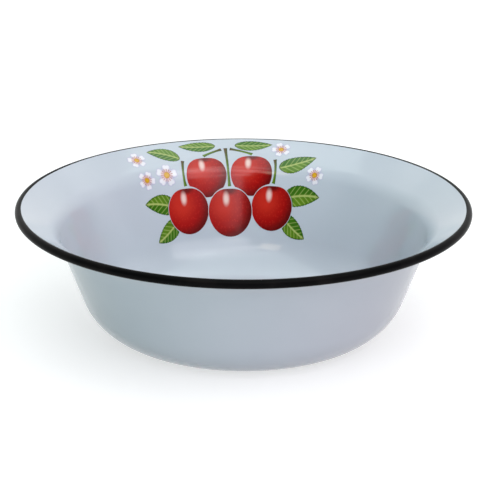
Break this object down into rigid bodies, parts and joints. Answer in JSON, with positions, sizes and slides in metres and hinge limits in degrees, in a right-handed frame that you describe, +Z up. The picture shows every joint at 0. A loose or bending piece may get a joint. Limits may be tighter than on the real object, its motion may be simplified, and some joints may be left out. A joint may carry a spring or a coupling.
{
  "type": "enamel bowl",
  "caption": "Round flared bowl of white enamelled sheet steel with a flat standing ring, a rolled black rim and a fired fruit print inside, for mixing and serving food.",
  "frame": {"origin": "on the table, at the middle of the flat standing ring", "axes": "+Z up along the bowl's axis; the print is on the inside of the wall toward +Y"},
  "size_m": [0.3, 0.3, 0.088],
  "materials": {
    "sheet_steel": "satin",
    "ground_enamel": "satin",
    "white_enamel": "gloss",
    "black_enamel": "gloss",
    "print_red": "gloss",
    "print_stem_green": "gloss",
    "print_leaf_green": "gloss",
    "print_white": "gloss",
    "print_yellow": "gloss"
  },
  "bodies": {
    "root": {"steel_bowl": "sheet_steel", "ground_coat_inside": "ground_enamel", "ground_coat_outside": "ground_enamel", "white_enamel_inside": "white_enamel", "white_enamel_outside": "white_enamel", "black_rim_enamel": "black_enamel", "print_cherry_1": "print_red", "print_cherry_2": "print_red", "print_cherry_3": "print_red", "print_cherry_4": "print_red", "print_cherry_5": "print_red", "print_stalk_1": "print_stem_green", "print_stalk_2": "print_stem_green", "print_stalk_3": "print_stem_green", "print_stalk_4": "print_stem_green", "print_stalk_5": "print_stem_green", "print_leaf_1": "print_leaf_green", "print_leaf_2": "print_leaf_green", "print_leaf_3": "print_leaf_green", "print_leaf_4": "print_leaf_green", "print_leaf_5": "print_leaf_green", "print_leaf_6": "print_leaf_green", "print_leaf_7": "print_leaf_green", "print_leaf_8": "print_leaf_green", "print_blossom_1": "print_white", "print_blossom_2": "print_white", "print_blossom_3": "print_white", "print_blossom_4": "print_white", "print_blossom_5": "print_white", "print_heart_1": "print_yellow", "print_heart_2": "print_yellow", "print_heart_3": "print_yellow", "print_heart_4": "print_yellow", "print_heart_5": "print_yellow"}
  },
  "joints": []
}
